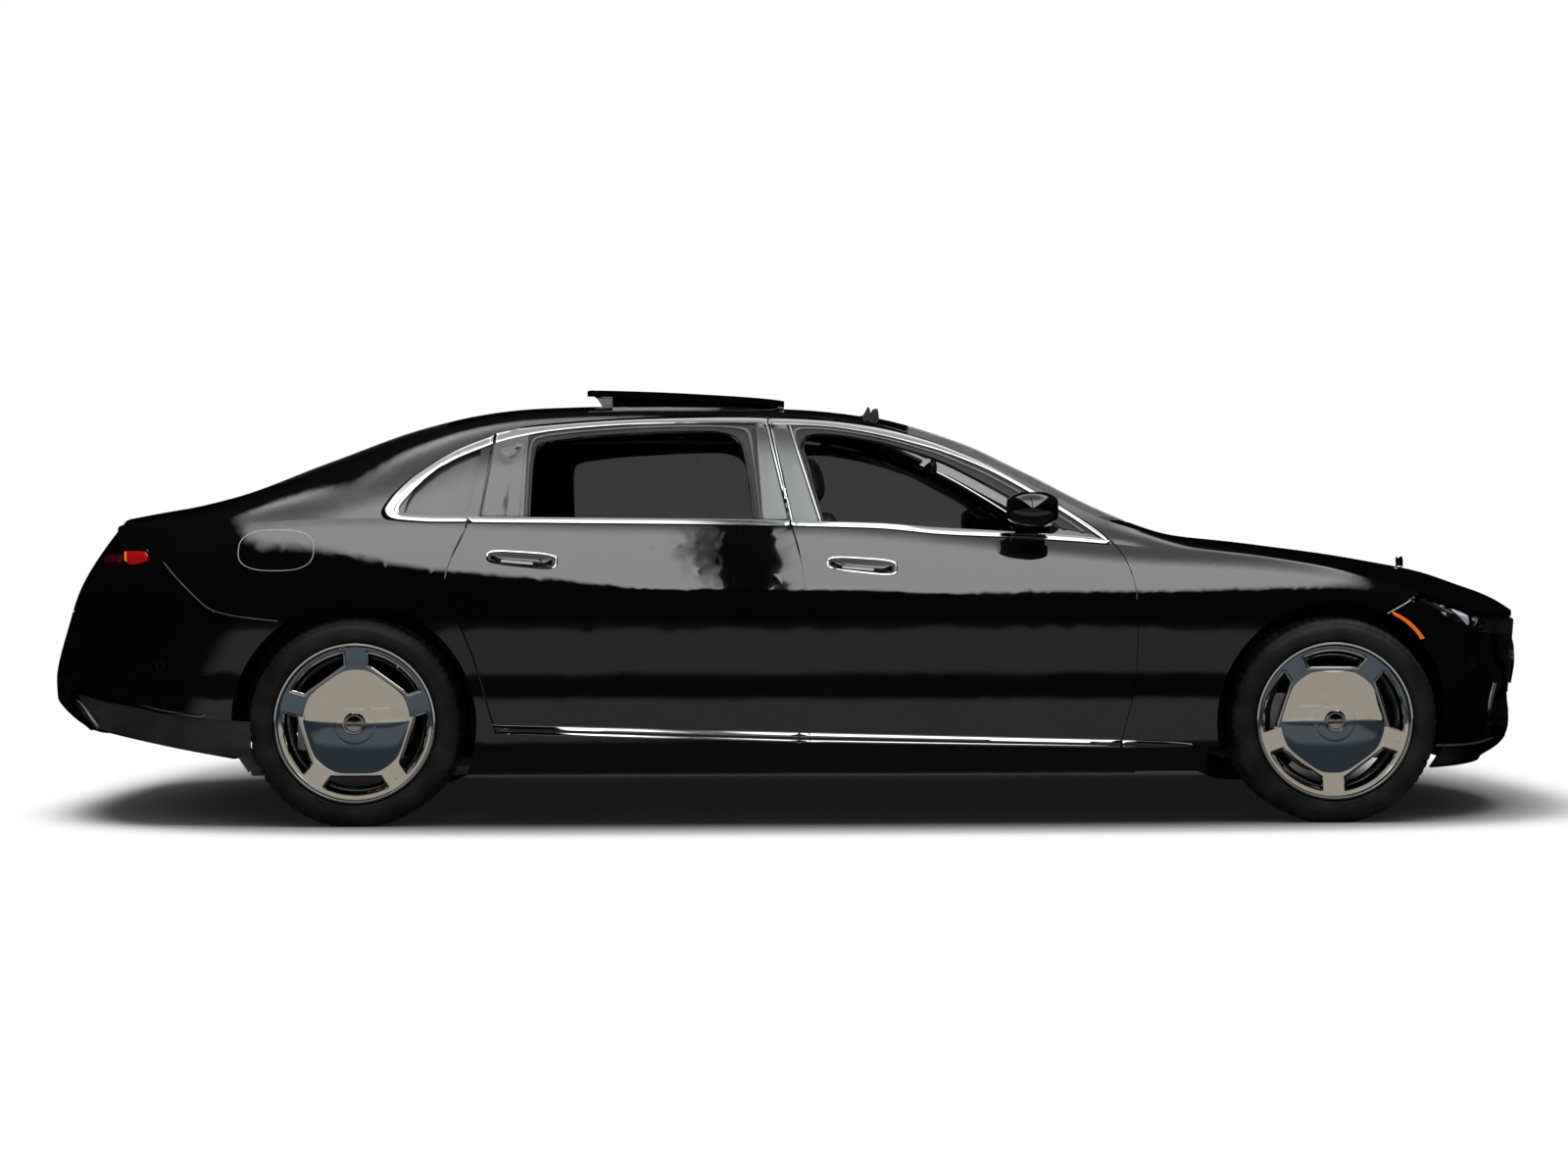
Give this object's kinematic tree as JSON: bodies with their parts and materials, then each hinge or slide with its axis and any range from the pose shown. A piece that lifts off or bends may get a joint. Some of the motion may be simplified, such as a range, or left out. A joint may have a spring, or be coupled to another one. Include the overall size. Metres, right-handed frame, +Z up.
{
  "type": "luxury sedan",
  "caption": "Long four-door luxury sedan with upright grille, opening doors, hood and boot lid, steered front wheels and a raised sliding roof panel.",
  "frame": {"origin": "on the ground under the middle of the overall length", "axes": "+X forward, +Y to the left, +Z up"},
  "size_m": [5.4731, 2.092, 1.564],
  "materials": {
    "black_paint": "deep gloss black",
    "tinted_glass": "dark tinted",
    "chrome": "polished",
    "polished_alloy": "polished",
    "tyre": "matt rubber",
    "lamp_lens": "clear over dark housing",
    "red_lens": "dark red",
    "dark_plastic": "matt black",
    "cabin_plastic": "soft black",
    "leather": "black",
    "dark_metal": "dark coated"
  },
  "bodies": {
    "root": {"body_side_left": "black_paint", "body_side_right": "black_paint", "centre_console": "cabin_plastic", "cowl_panel": "dark_plastic", "dashboard": "cabin_plastic", "engine_block": "dark_metal", "exhaust": "dark_metal", "floor_shell": "dark_metal", "front_bumper": "black_paint", "front_fender_left": "black_paint", "front_fender_right": "black_paint", "front_seats": "leather", "front_subframe": "dark_metal", "headlamps": "lamp_lens", "quarter_windows": "tinted_glass", "radiator_grille": "chrome", "rear_bumper": "black_paint", "rear_knuckles": "dark_metal", "rear_seats": "leather", "rear_subframe": "dark_metal", "rear_window": "tinted_glass", "roof_glass_rear": "tinted_glass", "roof_panel": "black_paint", "sunroof_panel": "black_paint", "tail_lamps": "red_lens", "wheel_housings": "dark_plastic", "wind_deflector": "dark_plastic", "windshield": "tinted_glass"},
    "hood": {"hood": "black_paint", "hood_fin": "chrome"},
    "boot_lid": {"boot_lid": "black_paint"},
    "steering_wheel": {"steering_wheel": "cabin_plastic"},
    "front_door_left": {"front_door_left": "black_paint", "mirror_left": "black_paint", "front_window_left": "tinted_glass"},
    "rear_door_left": {"rear_door_left": "black_paint", "rear_door_glass_left": "tinted_glass"},
    "front_knuckle_left": {"front_knuckle_left": "dark_metal"},
    "wheel_front_left": {"wheel_front_left": "polished_alloy", "tyre_front_left": "tyre"},
    "wheel_rear_left": {"wheel_rear_left": "polished_alloy", "tyre_rear_left": "tyre"},
    "front_door_right": {"front_door_right": "black_paint", "mirror_right": "black_paint"},
    "rear_door_right": {"rear_door_right": "black_paint", "rear_door_glass_right": "tinted_glass"},
    "front_knuckle_right": {"front_knuckle_right": "dark_metal"},
    "wheel_front_right": {"wheel_front_right": "polished_alloy", "tyre_front_right": "tyre"},
    "wheel_rear_right": {"wheel_rear_right": "polished_alloy", "tyre_rear_right": "tyre"}
  },
  "joints": [
    {"name": "hood_hinge", "type": "hinge", "parent": "root", "child": "hood", "pos_m": [1.0515, 0, 1.085], "axis": [0, -1, 0], "range_deg": [0, 50]},
    {"name": "boot_lid_hinge", "type": "hinge", "parent": "root", "child": "boot_lid", "pos_m": [-1.9365, 0, 1.224], "axis": [0, 1, 0], "range_deg": [0, 80]},
    {"name": "front_door_left_hinge", "type": "hinge", "parent": "root", "child": "front_door_left", "pos_m": [1.1775, 0.959, 0.6], "axis": [0, 0, -1], "range_deg": [0, 68]},
    {"name": "rear_door_left_hinge", "type": "hinge", "parent": "root", "child": "rear_door_left", "pos_m": [0.0355, 0.962, 0.6], "axis": [0, 0, -1], "range_deg": [0, 72]},
    {"name": "front_door_right_hinge", "type": "hinge", "parent": "root", "child": "front_door_right", "pos_m": [1.1775, -0.959, 0.6], "axis": [0, 0, 1], "range_deg": [0, 68]},
    {"name": "rear_door_right_hinge", "type": "hinge", "parent": "root", "child": "rear_door_right", "pos_m": [0.0355, -0.962, 0.6], "axis": [0, 0, 1], "range_deg": [0, 72]},
    {"name": "steering_left", "type": "hinge", "parent": "root", "child": "front_knuckle_left", "pos_m": [1.8635, 0.745, 0.354], "axis": [0, 0, 1], "range_deg": [-36, 36]},
    {"name": "wheel_front_left_spin", "type": "hinge", "parent": "front_knuckle_left", "child": "wheel_front_left", "pos_m": [1.8635, 0.815, 0.354], "axis": [0, 1, 0], "continuous": true},
    {"name": "wheel_rear_left_spin", "type": "hinge", "parent": "root", "child": "wheel_rear_left", "pos_m": [-1.5325, 0.8, 0.354], "axis": [0, 1, 0], "continuous": true},
    {"name": "steering_right", "type": "hinge", "parent": "root", "child": "front_knuckle_right", "pos_m": [1.8635, -0.745, 0.354], "axis": [0, 0, 1], "range_deg": [-36, 36]},
    {"name": "wheel_front_right_spin", "type": "hinge", "parent": "front_knuckle_right", "child": "wheel_front_right", "pos_m": [1.8635, -0.815, 0.354], "axis": [0, 1, 0], "continuous": true},
    {"name": "wheel_rear_right_spin", "type": "hinge", "parent": "root", "child": "wheel_rear_right", "pos_m": [-1.5325, -0.8, 0.354], "axis": [0, 1, 0], "continuous": true},
    {"name": "steering_wheel_turn", "type": "hinge", "parent": "root", "child": "steering_wheel", "pos_m": [0.7255, 0.385, 0.8], "axis": [-0.9135, 0, 0.4067], "range_deg": [-432, 432]}
  ],
  "couplings": [
    {"joint": "steering_right", "follows": "steering_left", "ratio": 1},
    {"joint": "steering_wheel_turn", "follows": "steering_left", "ratio": 12}
  ]
}
